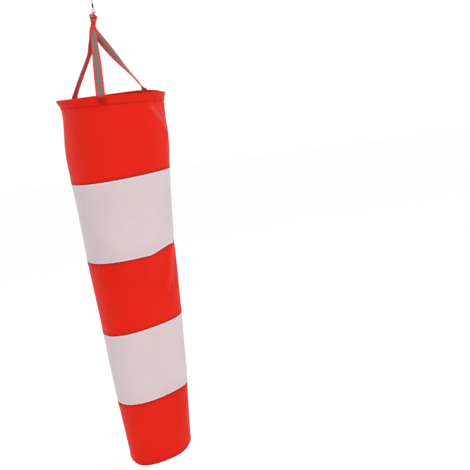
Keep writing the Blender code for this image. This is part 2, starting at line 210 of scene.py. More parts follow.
def wire(name, points, radii, finish):
    """Round wire along points, one radius at each."""
    points = np.asarray(points, float)
    curve = bpy.data.curves.new(name, "CURVE")
    curve.dimensions = "3D"
    curve.bevel_depth = 1.0
    curve.bevel_resolution = 4
    curve.use_fill_caps = True
    spline = curve.splines.new("POLY")
    spline.points.add(len(points) - 1)
    for spot, place, radius in zip(spline.points, points, radii):
        spot.co = (*place, 1)
        spot.radius = radius
    carrier = bpy.data.objects.new(name, curve)
    mesh = bpy.data.meshes.new_from_object(carrier)
    bpy.data.objects.remove(carrier)
    made = put_in_scene(name, mesh, finish)
    mesh.set_sharp_from_angle(angle=math.radians(50))
    return made


def stem_of(foot, throat, step):
    """A stem with its forged head, from the head's end: heights and radii."""
    heights = [foot, foot + step * 0.0002, foot + step * 0.0012, foot + step * 0.0014, throat]
    return heights, [WIRE * 1.2, WIRE * 1.8, WIRE * 1.8, WIRE, WIRE]


heights, radii = stem_of(eye_low.z, -EYE_RING - 0.0021, 1)
ring = np.vstack([[0.12 * EYE_RING, -EYE_RING - 0.0008], [0.30 * EYE_RING, -EYE_RING * 0.99],
                  arc((0, 0), EYE_RING, -58, 238, 60)])
path = [(0, 0, h) for h in heights] + [(0, y, z) for y, z in ring]
upper_eye = wire("swivel_eye_wire", path, radii + [WIRE] * len(ring), swivel_steel)
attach(upper_eye, "upper_eye")
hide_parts("swivel_upper_eye")

crown = barrel_low.z - 0.0027
low_bend, high_bend = bail_low.z + WIRE + BAIL_BEND, crown - BAIL_BEND
half_bar = bail_high.x - WIRE - BAIL_BEND
lean = math.degrees(math.atan2(half_bar, high_bend - low_bend))
heights, radii = stem_of(bail_high.z, crown + WIRE, -1)
bail = np.vstack([[BAIL_BEND * 0.35, crown - BAIL_BEND * 0.12],
                  arc((0, high_bend), BAIL_BEND, 50, lean, 8),
                  arc((half_bar, low_bend), BAIL_BEND, lean, -90, 14),
                  arc((-half_bar, low_bend), BAIL_BEND, -90, -180 - lean, 14),
                  arc((0, high_bend), BAIL_BEND, 180 - lean, 118, 8)])
path = [(0, 0, h) for h in heights] + [(x, 0, z) for x, z in bail]
lower_eye = wire("swivel_bail_wire", path, radii + [WIRE] * len(bail), swivel_steel)
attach(lower_eye, "lower_eye")
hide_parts("swivel_lower_eye")


def turned(name, profile, sides, finish):
    """A closed profile of (radius, height) pairs turned about the vertical axis."""
    mesh = bpy.data.meshes.new(name)
    body = bmesh.new()
    rows = []
    for radius, height in profile:
        rows.append([body.verts.new((radius * math.cos(t), radius * math.sin(t), height))
                     for t in (2 * math.pi * k / sides for k in range(sides))])
    for here, there in zip(rows, rows[1:] + rows[:1]):
        for k in range(sides):
            body.faces.new((here[k], here[(k + 1) % sides], there[(k + 1) % sides], there[k]))
    bmesh.ops.recalc_face_normals(body, faces=body.faces)
    body.to_mesh(mesh)
    body.free()
    made = put_in_scene(name, mesh, finish)
    mesh.set_sharp_from_angle(angle=math.radians(40))
    return made


outside = barrel_high.x
bore = WIRE + 0.0003
cavity = bore + 0.0007
rolled = [(bore, barrel_high.z)]
rolled += [(outside * r, barrel_high.z - drop) for r, drop in ((0.55, 0), (0.75, 0.0001), (0.92, 0.0005))]
for groove in (0.30, 0.70):
    middle = barrel_high.z + (barrel_low.z - barrel_high.z) * groove
    rolled += [(outside, middle + 0.0007), (outside * 0.93, middle + 0.0002),
               (outside * 0.93, middle - 0.0002), (outside, middle - 0.0007)]
rolled += [(outside * r, barrel_low.z + rise) for r, rise in ((0.92, 0.0005), (0.75, 0.0001), (0.55, 0))]
rolled += [(bore, barrel_low.z), (bore, barrel_low.z + 0.0015), (cavity, barrel_low.z + 0.0015),
           (cavity, barrel_high.z - 0.0015), (bore, barrel_high.z - 0.0015)]
barrel = turned("swivel_rolled_barrel", rolled, 40, swivel_steel)
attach(barrel, "barrel")
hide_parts("swivel_barrel")

# ---- the cut of the sock ----
# One tapered tube of thin coated cloth, sewn from five stripes. Empty, it hangs a little
# flattened, drawn in under its hoop, taut down its left side and slack down its right.

hem_low, hem_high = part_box("mouth_hem")
RIM = hem_high.z
MOUTH = (hem_high.x - hem_low.x) / 2
MOUTH_MIDDLE = (hem_low + hem_high) / 2
TAIL = 0.0875
# for each seam from the rim down: its depth, its reach to left and right, and how far
# its right end is hitched up and its left end let down
SEAM_DEPTH = (0.0, 0.2136, 0.4315, 0.6315, 0.8345, 1.0205)
REACH_LEFT = (-0.1380, -0.1291, -0.1206, -0.1116, -0.1019, -0.0900)
REACH_RIGHT = (0.1600, 0.1374, 0.1202, 0.1126, 0.0980, 0.0830)
HITCH = (-0.0071, 0.0041, 0.0021, 0.0098, 0.0078, 0.0059)
DRAWN_IN = (0.0100, 0.0050)  # waist under the hoop, left and right
WAIST = 0.030                # how far down it is drawn in the most
FLATTENED = 0.154            # how much longer than round its section is one way, at the tail
FLAT_YAW = math.radians(24.8)
SQUARED = 2.31               # how full the flattened section's corners are
FOLD_HITCH = 0.0160          # extra hitch where the second seam folds
REAR_LIFT = 0.016            # how far the back of the hoop stands up
MOUTH_LIFT = 0.005           # how far the hoop is held up above the cut length
TAIL_ROUND = 0.011           # how far the tail's corners curl up
SET_FORWARD = 0.007          # how far the tail hangs forward of the mouth
HEM = 0.024
LAP = 0.010
SEWN_IN = 0.0022             # how far stitching keeps from the edge it holds
SEWN_STAND = 0.0003          # how far thread stands off the cloth
CLOTH = 0.0004
PUCKER = 0.0005              # fine puckers beside each seam
SLACK_WAVES = (0.0013, 0.0016)  # slow waves in the cloth, all round and down the slack side


def ease(value):
    value = np.clip(value, 0, 1)
    return value * value * (3 - 2 * value)


# soft ridges in the slack cloth: turn and depth of both ends, half width and height
RIDGES = (
    (291, 0.040, 317, 0.118, 0.010, 0.0044),
    (308, 0.032, 332, 0.080, 0.009, -0.0038),
    (276, 0.330, 274, 0.500, 0.022, 0.0045),
    (317, 0.420, 290, 0.540, 0.009, 0.0052),
    (334, 0.430, 312, 0.530, 0.010, -0.0034),
    (250, 0.060, 232, 0.200, 0.030, 0.0016),
    (205, 0.230, 222, 0.400, 0.030, 0.0015),
    (300, 0.640, 322, 0.800, 0.028, 0.0018),
    (228, 0.660, 240, 0.820, 0.030, 0.0014),
    (262, 0.840, 286, 0.990, 0.030, 0.0020),
    (80, 0.050, 60, 0.300, 0.040, -0.0050),
    (110, 0.300, 95, 0.600, 0.045, -0.0040),
    (40, 0.420, 70, 0.700, 0.040, 0.0030),
    (75, 0.700, 60, 0.980, 0.040, -0.0035),
)


def ridge_share(depth, turn, radius, ridge, breadth):
    """How close places on the cloth lie to a ridge's line, from 0 to 1."""
    turn_a, depth_a, turn_b, depth_b = ridge[:4]
    across = np.radians((np.degrees(turn) - turn_a + 180) % 360 - 180) * radius
    down, run = depth - depth_a, depth_b - depth_a
    span = math.radians(turn_b - turn_a) * radius
    along = np.clip((across * span + down * run) / (span ** 2 + run ** 2), 0, 1)
    return np.exp(-(np.hypot(across - along * span, down - along * run) / breadth) ** 2)


def sock_place(depth, turn, stand=0.0):
    """Places on the hanging cloth: depth below the rim, turn in radians, stand off its face."""
    depth, turn = np.broadcast_arrays(np.asarray(depth, float), np.asarray(turn, float))
    left = np.interp(depth, SEAM_DEPTH, REACH_LEFT)
    right = np.interp(depth, SEAM_DEPTH, REACH_RIGHT)
    hitch = np.interp(depth, SEAM_DEPTH, HITCH)
    waist = ease(depth / WAIST) * (1 - ease((depth - WAIST) / 0.13))
    left = left + DRAWN_IN[0] * waist
    right = right - DRAWN_IN[1] * waist
    # the section: round at the hoop, a fuller and flatter oval below it
    share = depth / SEAM_DEPTH[-1]
    radius = MOUTH + (TAIL - MOUTH) * share
    below = np.clip(depth - HEM, 0, None) / (SEAM_DEPTH[-1] - HEM)
    flat = FLATTENED * (1 - (1 - below) ** 2)
    fullness = ease(depth / 0.12)
    corner = {}
    for name, wave in (("c", np.cos(turn)), ("s", np.sin(turn))):
        squared = np.sign(wave) * np.abs(wave) ** (2 / SQUARED)
        corner[name] = wave * (1 - fullness) + squared * fullness
    long, short = radius * (1 + flat), radius * (1 - flat)
    # what stands off that section: folds, slow waves and puckers
    swell = np.zeros(depth.shape)
    for ridge in RIDGES:
        swell = swell + ridge[5] * ridge_share(depth, turn, radius, ridge, ridge[4])
    ripple = np.sin(turn * 37 + 2 * np.sin(turn * 5)) * PUCKER
    near = sum(np.exp(-((depth - seam) / 0.020) ** 2) for seam in (HEM,) + SEAM_DEPTH[1:])
    slow = np.sin(3 * turn + 9 * depth) * np.sin(11 * depth + 1.7 * np.cos(turn)) * SLACK_WAVES[0]
    slow = slow + np.sin(7 * turn - 14 * depth) * np.sin(19 * depth + 2 * turn) * SLACK_WAVES[1] \
        * ease(np.sin(turn + 0.4))
    off = (swell + slow) * ease((depth - HEM) / 0.03) + ripple * near * ease((depth - 0.010) / 0.012)
    off = off + stand
    x = long * corner["c"] * math.cos(FLAT_YAW) - short * corner["s"] * math.sin(FLAT_YAW)
    y = long * corner["c"] * math.sin(FLAT_YAW) + short * corner["s"] * math.cos(FLAT_YAW)
    reach = np.hypot(long * math.cos(FLAT_YAW), short * math.sin(FLAT_YAW))
    side = x / reach
    outward = np.hypot(x, y)
    # seams hitched up on the right, the tail's corners curled and the hoop held up
    lift = hitch * side
    slack = np.clip((side - 0.40) / 0.60, 0, 1)
    lift = lift + FOLD_HITCH * slack * np.exp(-((depth - SEAM_DEPTH[2]) / 0.075) ** 2)
    corner_share = np.clip((np.abs(side) - 0.5) / 0.5, 0, 1)
    lift = lift + TAIL_ROUND * (1 - (1 - corner_share ** 2) ** 0.75) * ease((depth - 0.93) / 0.09)
    lift = lift + MOUTH_LIFT * (1 - ease(depth / 0.15))
    lift = lift + REAR_LIFT * (0.6 + 0.4 * side) * ease(y / MOUTH) * (1 - ease(depth / 0.2))
    middle = (left + right) / 2
    half = (right - left) / 2
    return np.stack([middle + half * side + off * x / outward,
                     MOUTH_MIDDLE.y - SET_FORWARD * share + y + off * y / outward,
                     RIM - depth + lift], -1)


def shaded(tree, shader, ramp):
    """Multiplies the shader's colour by the tint a piece carries at each of its points: painted shade and
    painted highlights, with the darkening by stitching.
    """
    tint = tree.nodes.new("ShaderNodeVertexColor")
    tint.layer_name = "shade"
    mix = tree.nodes.new("ShaderNodeMix")
    mix.data_type = "RGBA"
    mix.blend_type = "MULTIPLY"
    mix.inputs[0].default_value = 1.0
    tree.links.new(ramp.outputs["Color"], mix.inputs[6])
    tree.links.new(tint.outputs["Color"], mix.inputs[7])
    tree.links.new(mix.outputs[2], shader.inputs["Base Color"])


def deepen(tree, shader, source, least):
    """Deepens the shader's colour along a pattern's lines, to a share of itself."""
    span = tree.nodes.new("ShaderNodeMapRange")
    span.inputs["To Min"].default_value = 1.0
    span.inputs["To Max"].default_value = least
    link(tree, source, 0, span, "Value")
    mix = tree.nodes.new("ShaderNodeMix")
    mix.data_type = "RGBA"
    mix.blend_type = "MULTIPLY"
    mix.inputs[0].default_value = 1.0
    before = shader.inputs["Base Color"].links[0].from_socket
    tree.links.new(before, mix.inputs[6])
    tree.links.new(span.outputs["Result"], mix.inputs[7])
    tree.links.new(mix.outputs[2], shader.inputs["Base Color"])


def woven(name, low, high):
    """Thin coated ripstop: a square grid of thicker threads, a fine weave and a satin coat."""
    made, tree, shader = finish_of(name, high, 0.55)
    shader.inputs["Sheen Weight"].default_value = 0.02
    shader.inputs["Sheen Roughness"].default_value = 0.4
    shader.inputs["Specular IOR Level"].default_value = 0.06
    patch = texture(tree, "ShaderNodeTexNoise", 7.0, 3)
    ramp = tinted(tree, shader, patch, "Fac", low, high, (0.25, 0.75))
    shaded(tree, shader, ramp)
    roughened(tree, shader, texture(tree, "ShaderNodeTexNoise", 40, 3), "Fac", 0.45, 0.62)
    weave = None
    for kind, scale, depth, strength in (("X", 62.8, 0.00012, 0.6), ("Y", 62.8, 0.00012, 0.6),
                                         ("X", 420, 0.00003, 0.3), ("Y", 420, 0.00003, 0.3)):
        wave = texture(tree, "ShaderNodeTexWave", scale, 0, "UV")
        wave.bands_direction = kind
        wave.inputs["Distortion"].default_value = 0.0
        sharp = tree.nodes.new("ShaderNodeMath")
        sharp.operation = "POWER"
        sharp.inputs[1].default_value = 8.0 if scale < 100 else 1.0
        link(tree, wave, "Fac", sharp, 0)
        weave = bumped(tree, shader, sharp, 0, depth, strength, weave)
        if scale < 100:
            deepen(tree, shader, sharp, 0.92)
    return made


red_cloth = woven("red cloth", (0.64, 0.012, 0.005), (0.70, 0.016, 0.006))
white_cloth = woven("white cloth", (0.58, 0.475, 0.485), (0.63, 0.52, 0.53))


def cloth_mesh(name, places, across, along, thickness, shade=None, joined=True):
    """A sheet through a grid of places, rows by columns, joined round to its start or open, with
    its thickness laid inwards. Texture coordinates are metres across and along the cut cloth."""
    rows, columns = places.shape[:2]
    mesh = bpy.data.meshes.new(name)
    index = np.arange(rows * columns).reshape(rows, columns)
    if joined:
        index = np.concatenate([index, index[:, :1]], axis=1)
    corners = ((slice(None, -1), slice(None, -1)), (slice(1, None), slice(None, -1)),
               (slice(1, None), slice(1, None)), (slice(None, -1), slice(1, None)))
    faces = np.stack([index[c] for c in corners], -1).reshape(-1, 4)
    mesh.from_pydata(places.reshape(-1, 3).tolist(), [], faces.tolist())
    pairs = np.stack([np.stack([across[c], along[c]], -1) for c in corners], 2)
    mesh.uv_layers.new(name="cut").data.foreach_set("uv", pairs.reshape(-1).astype(np.float32))
    tint = mesh.color_attributes.new("shade", "FLOAT_COLOR", "POINT")
    colours = np.ones((rows * columns, 4), np.float32)
    if shade is not None:
        colours[:, :3] = np.asarray(shade).reshape(-1, 3)
    tint.data.foreach_set("color", colours.reshape(-1))
    carrier = bpy.data.objects.new(name, mesh)
    thick = carrier.modifiers.new("thickness", "SOLIDIFY")
    thick.thickness = thickness
    thick.offset = -1
    thick.use_even_offset = False
    bpy.context.scene.collection.objects.link(carrier)
    bpy.context.view_layer.update()
    final = bpy.data.meshes.new_from_object(carrier.evaluated_get(bpy.context.evaluated_depsgraph_get()))
    bpy.data.objects.remove(carrier)
    bpy.data.meshes.remove(mesh)
    final.name = name
    return final


COLUMNS = 180
TURNS = np.linspace(0, 2 * math.pi, COLUMNS, endpoint=False)


def run_lengths(steps):
    """Distance run along the first axis of a grid of places."""
    gone = np.cumsum(np.linalg.norm(np.diff(steps, axis=0), axis=2), axis=0)
    return np.concatenate([np.zeros((1, steps.shape[1])), gone])


def tube(name, depths, stands, finish, thickness=CLOTH, shade=None):
    """Cloth right round the sock, through rows of depth and stand-off."""
    places = sock_place(np.array(depths)[:, None], TURNS[None, :], np.array(stands)[:, None])
    loop = np.concatenate([places, places[:, :1]], axis=1)
    across = run_lengths(loop.transpose(1, 0, 2)).T
    mesh = cloth_mesh(name, places, across, run_lengths(loop), thickness, shade)
    return put_in_scene(name, mesh, finish)


# ---- hang loop ----
# A short length of 25 mm webbing with a sewn grey strip, gathered over the bail's bar and held
# shut below by two boxes of stitching, with the ends of the three straps between its tails.

WEB = 0.0012
LAYER = 0.0015
WEB_ACROSS = 0.024
loop_low, loop_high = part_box("hang_loop")
BAR = bail_low.z + WIRE
LOOP_END = loop_low.z
PINCH = LOOP_END + 0.016
WRAP = WIRE + 0.0003 + WEB / 2
STRIP_THICK = 0.0003


def webbing_finish(name, low, high):
    """Polyester webbing in a close twill, with soft fuzz."""
    made, tree, shader = finish_of(name, high, 0.7)
    shader.inputs["Sheen Weight"].default_value = 0.15
    shader.inputs["Sheen Roughness"].default_value = 0.5
    shader.inputs["Specular IOR Level"].default_value = 0.2
    patch = texture(tree, "ShaderNodeTexNoise", 120, 3)
    ramp = tinted(tree, shader, patch, "Fac", low, high, (0.3, 0.7))
    shaded(tree, shader, ramp)
    roughened(tree, shader, texture(tree, "ShaderNodeTexNoise", 700, 3), "Fac", 0.6, 0.85)
    weave = None
    for kind, scale, depth, strength in (("Y", 210, 0.00012, 0.6), ("X", 260, 0.00008, 0.5),
                                         ("DIAGONAL", 120, 0.00008, 0.4)):
        wave = texture(tree, "ShaderNodeTexWave", scale, 0, "UV")
        wave.bands_direction = kind
        weave = bumped(tree, shader, wave, "Fac", depth, strength, weave)
    return made


red_webbing = webbing_finish("red webbing", (0.56, 0.026, 0.030), (0.70, 0.048, 0.050))
strip_grey, nodes, shader = finish_of("reflective strip", (0.2, 0.16, 0.14), 0.4)
shader.inputs["Specular IOR Level"].default_value = 0.6
shader.inputs["Coat Weight"].default_value = 0.15
shader.inputs["Coat Roughness"].default_value = 0.3
beads = texture(nodes, "ShaderNodeTexVoronoi", 1400)
tinted(nodes, shader, beads, "Distance", (0.21, 0.155, 0.13), (0.145, 0.105, 0.09), (0.1, 0.8))
worn = texture(nodes, "ShaderNodeTexNoise", 160, 4)
roughened(nodes, shader, worn, "Fac", 0.32, 0.55)
bumped(nodes, shader, beads, "Distance", 0.00005, 0.5)


def unit(vectors):
    return vectors / np.linalg.norm(vectors, axis=-1, keepdims=True)


def band(name, middle, face, left, right, finish, thickness, curl=None, wave=None, lift=0.0,
         columns=13, shade=None):
    """Flat woven band along its middle line. Its outer face looks the way of `face`; its edges
    lie `left` and `right` of the middle; it may be curled back at its edges and pleated."""
    along = unit(np.gradient(middle, axis=0))
    normal = unit(face - np.sum(face * along, axis=1, keepdims=True) * along)
    cross = np.cross(normal, along)
    s = np.linspace(-1, 1, columns)[None, :]
    reach = np.where(s < 0, np.asarray(left)[:, None], np.asarray(right)[:, None])
    curl = np.zeros(len(middle)) if curl is None else np.asarray(curl)
    wave = np.zeros(len(middle)) if wave is None else np.asarray(wave)
    bend = np.maximum(curl, 1e-3)[:, None]
    x = np.sin(bend * s) / bend * reach
    back = (np.cos(bend * s) - 1) / bend * reach
    back = back + wave[:, None] * (1 + np.cos(s * math.pi * 3.0)) * 0.5
    out = back + lift + thickness / 2
    places = middle[:, None] + cross[:, None] * x[..., None] + normal[:, None] * out[..., None]
    run = run_lengths(middle[:, None])[:, 0]
    across = np.broadcast_to(s * WEB_ACROSS / 2, x.shape)
    down = np.broadcast_to(run[:, None], x.shape)
    mesh = cloth_mesh(name, places, across, down, thickness, shade, joined=False)
    return put_in_scene(name, mesh, finish)


def rounded(corners, backs, step=0.0015):
    """A fine line through corners, each inner corner rounded over the distance given."""
    corners = [np.asarray(c, float) for c in corners]
    points = [corners[0]]
    for k, back in enumerate(backs, start=1):
        before = corners[k] + unit(corners[k - 1] - corners[k]) * back
        after = corners[k] + unit(corners[k + 1] - corners[k]) * back
        for t in np.linspace(0, 1, 9):
            points.append(before * (1 - t) ** 2 + corners[k] * 2 * t * (1 - t) + after * t ** 2)
    points.append(corners[-1])
    points = np.array(points)
    run = run_lengths(points[:, None])[:, 0]
    even = np.linspace(0, run[-1], max(int(run[-1] / step), 8))
    return np.stack([np.interp(even, run, points[:, axis]) for axis in range(3)], -1)


SHOULDER_DROP = 0.011
LEAN = 0.2                   # how far the loop leans to its left for each metre down


def leant(places):
    """Leans what hangs in the bail to the left, from the bail's bar down."""
    places = np.array(places, float)
    places[..., 0] -= LEAN * np.clip(BAR - places[..., 2], 0, None)
    return places


fore, aft = -2 * LAYER, loop_high.y - WEB / 2
turn_over = [(0, WRAP * math.cos(t), BAR + WRAP * math.sin(t)) for t in np.linspace(math.pi, 0, 17)]
belly = 0.0035
outline = [(0, fore, LOOP_END), (0, fore, PINCH), (0, -belly, BAR - SHOULDER_DROP),
           (0, -WRAP * 1.2, BAR - 0.002)]
outline = np.array(outline + turn_over + [(0, WRAP * 1.2, BAR - 0.002), (0, belly, BAR - SHOULDER_DROP),
                                          (0, aft, PINCH), (0, aft, LOOP_END)])
gone = run_lengths(outline[:, None])[:, 0]
even = np.linspace(0, gone[-1], 90)
middle = np.stack([np.interp(even, gone, outline[:, axis]) for axis in range(3)], -1)
for _ in range(3):
    middle[1:-1] = middle[1:-1] * 0.5 + (middle[:-2] + middle[2:]) * 0.25
over_bar = middle[:, 2] > BAR - 0.004
ring_out = np.hypot(middle[:, 1], middle[:, 2] - BAR)
near_bar = over_bar & (ring_out < WRAP)
middle[near_bar, 1] *= WRAP / ring_out[near_bar]
middle[near_bar, 2] = BAR + (middle[near_bar, 2] - BAR) * WRAP / ring_out[near_bar]
height = BAR + WRAP - middle[:, 2]
drop = height[0] - 0.016
stations = (0, 0.0042, 0.0052, 0.0066, 0.0098, 0.0125, 0.0165,
            drop - 0.003, drop, drop + 0.004, drop + 0.017)
left = np.interp(height, stations,
                 (0.0022, 0.0024, 0.0078, 0.0106, 0.0116, 0.0112, 0.0098, 0.0074, 0.0062, 0.0066, 0.0080))
right = np.interp(height, stations,
                  (0.0022, 0.0023, 0.0026, 0.0036, 0.0086, 0.0100, 0.0088, 0.0074, 0.0062, 0.0066, 0.0080))
pleats = np.interp(height, stations,
                   (0.0008, 0.0008, 0.0010, 0.0012, 0.0012, 0.0014, 0.0012, 0.0008, 0.0005, 0.0004, 0.0002))
face = np.stack([np.zeros(len(middle)), -np.gradient(middle[:, 2]), np.gradient(middle[:, 1])], -1)
face = np.where((np.arange(len(middle)) < len(middle) / 2)[:, None] & (face[:, 1:2] > 0), -face, face)
middle = leant(middle)
slanted = height[:, None] + np.linspace(0.003, -0.003, 25)[None, :]
crossed = height[:, None] + np.linspace(-0.003, 0.003, 25)[None, :]
# painted shade in the loop's creases: dark lines where it folds and where it is pinched
crease_shade = 0.80 * np.exp(-((slanted - 0.0158) / 0.0013) ** 2)
crease_shade = crease_shade + 0.30 * np.exp(-((slanted - 0.0100) / 0.0040) ** 2)
crease_shade = np.maximum(crease_shade, 0.75 * np.exp(-((crossed - drop + 0.001) / 0.0016) ** 2))
crease_shade = np.maximum(crease_shade, 0.55 * np.exp(-((slanted - drop - 0.004) / 0.0012) ** 2))
loop_shade = np.repeat((1 - crease_shade)[..., None], 3, axis=2)
hang_loop = band("hang_loop_webbing", middle, face, right, left, red_webbing, WEB, wave=pleats, columns=25,
                 shade=loop_shade)
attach(hang_loop, "mouth")
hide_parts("hang_loop")
taped = height < 0.0145
loop_strip = band("strip_loop", middle[taped], face[taped], left[taped] * -0.05, left[taped] * 0.90,
                  strip_grey, STRIP_THICK, wave=pleats[taped] * 0.3, lift=WEB / 2 + 0.0009, columns=9)
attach(loop_strip, "mouth")


def stitches(name, places, out, finish, length=0.0024, gap=0.0008, girth=0.00028):
    """A row of sewing along a line of places: one small rounded thread for each stitch."""
    places, out = np.asarray(places), np.asarray(out)
    run = run_lengths(places[:, None])[:, 0]
    count = max(int(run[-1] / (length + gap)), 1)
    starts = (np.arange(count) + 0.15) * run[-1] / count
    ring = np.radians(np.arange(6) * 60)
    verts, faces = [], []
    for begin in starts:
        base = len(verts)
        for share, grow, sink in ((0, 0.55, -0.5), (0.2, 1, 0.2), (0.8, 1, 0.2), (1, 0.55, -0.5)):
            at = begin + share * length
            centre = np.array([np.interp(at, run, places[:, k]) for k in range(3)])
            ahead = np.array([np.interp(at + 1e-4, run, places[:, k]) for k in range(3)])
            behind = np.array([np.interp(at - 1e-4, run, places[:, k]) for k in range(3)])
            up = unit(np.array([np.interp(at, run, out[:, k]) for k in range(3)]))
            side = unit(np.cross(unit(ahead - behind + 1e-9), up))
            for t in ring:
                verts.append(centre + up * girth * (sink + grow * math.sin(t))
                             + side * girth * grow * math.cos(t))
        for step in range(3):
            for k in range(6):
                here, there = base + step * 6, base + step * 6 + 6
                faces.append((here + k, here + (k + 1) % 6, there + (k + 1) % 6, there + k))
        faces.append(tuple(base + k for k in reversed(range(6))))
        faces.append(tuple(base + 18 + k for k in range(6)))
    mesh = bpy.data.meshes.new(name)
    mesh.from_pydata([tuple(v) for v in verts], [], faces)
    return put_in_scene(name, mesh, finish)


def thread_finish(name, low, high):
    made, tree, shader = finish_of(name, high, 0.6)
    shader.inputs["Sheen Weight"].default_value = 0.04
    shader.inputs["Specular IOR Level"].default_value = 0.15
    ply = texture(tree, "ShaderNodeTexWave", 900, 1)
    ply.bands_direction = "DIAGONAL"
    tinted(tree, shader, ply, "Fac", low, high, (0.2, 0.8))
    roughened(tree, shader, texture(tree, "ShaderNodeTexNoise", 500), "Fac", 0.5, 0.7)
    bumped(tree, shader, ply, "Fac", 0.00006, 0.5)
    return made


red_thread = thread_finish("red thread", (0.30, 0.007, 0.006), (0.46, 0.011, 0.008))
white_thread = thread_finish("white thread", (0.70, 0.60, 0.61), (0.84, 0.77, 0.78))


def box_line(centre, right, up, width, height):
    """Places once round a sewn box, and the way it faces."""
    corners = [(-1, -1), (1, -1), (1, 1), (-1, 1), (-1, -1)]
    places = [centre + right * x * width / 2 + up * z * height / 2 for x, z in corners]
    return np.array(places), np.repeat([np.cross(right, up)], 5, axis=0)


X, Z = np.array([1.0, 0, 0]), np.array([0, 0, 1.0])
boxed = np.array([0, 0, PINCH - 0.008])
for side, place, right in (("front", fore - WEB / 2, X), ("back", aft + WEB / 2, -X)):
    off = -0.0006 if side == "front" else 0.0006
    line, out = box_line(leant(boxed + (0, place + off, 0)), right, Z, 0.0095, 0.011)
    sewn = stitches("loop_stitching_" + side, line, out, red_thread)
    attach(sewn, "mouth")
    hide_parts("apex_stitch_" + side)

# ---- three straps ----
# Each is 25 mm webbing with a sewn reflective strip down its outer face. It starts pleated
# between the loop's tails, opens flat on its way down and is box stitched inside the hem.

LEG = 0.022
STRIP_ACROSS = 0.52          # of the webbing's width


def around(angle):
    return np.stack([np.sin(np.radians(angle)), -np.cos(np.radians(angle)), np.zeros(np.shape(angle))], -1)


def leg_turn(angle):
    """The turn round the sock of a level direction from the front."""
    return math.radians(angle - 90) - FLAT_YAW


STRAPS = {
    # angle round the mouth, place in the stack, drop to where it leaves the others, how its face
    # turns on the way down and over which share of it, how far its edges curl back, knee's stand
    "front": (-10, -LAYER, 0.020, (0, -10, -10), 0.60, 1.42, -0.0058),
    "right": (136, 0.0, 0.020, (0, 92, 136), 0.60, 0.9, -0.0100),
    "left": (-134, aft - LAYER, 0.046, (-180, -126, -134), 0.25, 1.1, -0.0058),
}
for side, (angle, back, parting, turns, over, curled, inset) in STRAPS.items():
    turn = leg_turn(angle)
    knee = sock_place(-0.0020, turn, inset)
    foot = sock_place(LEG, turn, -0.0058)
    start = leant([0, back, PINCH - 0.0003])
    split = leant([0, back, PINCH - parting])
    middle = rounded([start, split, knee, foot], (0.010, 0.006))
    run = run_lengths(middle[:, None])[:, 0]
    share = run / run[-1]
    facing = turns[0] + (turns[1] - turns[0]) * ease((share - 0.12) / over)
    facing = facing + (turns[2] - turns[1]) * ease((share - 0.81) / 0.15)
    face = around(facing)
    half = 0.0065 + (WEB_ACROSS / 2 - 0.0065) * ease(share / 0.12)
    curl = curled * ease((share - 0.02) / 0.1) * (1 - ease((share - 0.12) / 0.66))
    pleat = 0.0008 * (1 - ease(share / 0.16))
    strap = band("strap_webbing_" + side, middle, face, half, half, red_webbing, WEB, curl, pleat)
    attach(strap, "mouth")
    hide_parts("strap_" + side)
    taped = (run > parting + 0.0005) & (run < run[-1] - LEG + 0.012)
    inner = half[taped] * STRIP_ACROSS
    strip = band("strip_" + side, middle[taped], face[taped], inner, inner, strip_grey, STRIP_THICK,
                 curl[taped] * STRIP_ACROSS, None, WEB / 2 + 0.0002, columns=9)
    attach(strip, "mouth")
    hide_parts("tape_" + side)
    out = around(angle)
    right = np.cross(Z, out)
    inside = foot * 0.5 + knee * 0.5 - Z * 0.002 - out * (WEB / 2 + 0.0002)
    line, out = box_line(inside, right, Z, 0.017, 0.013)
    sewn = stitches("strap_stitching_" + side, line, -out if out[0] @ around(angle) > 0 else out,
                    red_thread)
    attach(sewn, "mouth")
    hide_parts("stitch_" + side)

# ---- hoop and hem ----
# A ring of spring wire, its ends met in a crimped aluminium ferrule at the back, lies in a casing
# of the red cloth that is folded over it and sewn down 24 mm below.

HOOP_DEPTH = 0.0024
HOOP_STAND = -0.0022
HOOP_WIRE = 0.0012           # half its thickness, and the ferrule's below
FERRULE = 0.0017
hoop_steel, nodes, shader = finish_of("hoop steel", (0.45, 0.45, 0.46), 0.3, 1.0)
drawn = texture(nodes, "ShaderNodeTexNoise", 300, 4)
tinted(nodes, shader, drawn, "Fac", (0.38, 0.38, 0.39), (0.52, 0.52, 0.53))
roughened(nodes, shader, drawn, "Fac", 0.24, 0.4)
bumped(nodes, shader, drawn, "Fac", 0.00003)
ferrule_metal, nodes, shader = finish_of("ferrule aluminium", (0.55, 0.56, 0.58), 0.35, 1.0)
pressed = texture(nodes, "ShaderNodeTexNoise", 500, 4)
tinted(nodes, shader, pressed, "Fac", (0.48, 0.49, 0.51), (0.62, 0.63, 0.65))
roughened(nodes, shader, pressed, "Fac", 0.28, 0.45)
bumped(nodes, shader, pressed, "Fac", 0.00004)

BACK = leg_turn(180)
turns_round = BACK + np.linspace(0.004, 2 * math.pi - 0.004, 200)
hoop = wire("hoop_wire", sock_place(HOOP_DEPTH, turns_round, HOOP_STAND), [HOOP_WIRE] * 200, hoop_steel)
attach(hoop, "mouth")
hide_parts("hoop")

sleeve_turns = BACK + np.linspace(-0.012, 0.012, 33) / MOUTH
sleeve_run = np.linspace(-1, 1, 33)
crimps = sum(np.exp(-((sleeve_run - c) / 0.09) ** 2) for c in (-0.6, -0.2, 0.2, 0.6))
sleeve = wire("hoop_crimped_ferrule", sock_place(HOOP_DEPTH, sleeve_turns, HOOP_STAND),
              FERRULE - 0.00025 * crimps, ferrule_metal)
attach(sleeve, "mouth")
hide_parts("hoop_ferrule")


# folds whose crests carry a painted highlight, a paler pink streak: the ridge's place in the list, breadth
# and strength
FOLD_HIGHLIGHTS = ((0, 0.0085, 0.55), (3, 0.0062, 0.80), (2, 0.0130, 0.2))


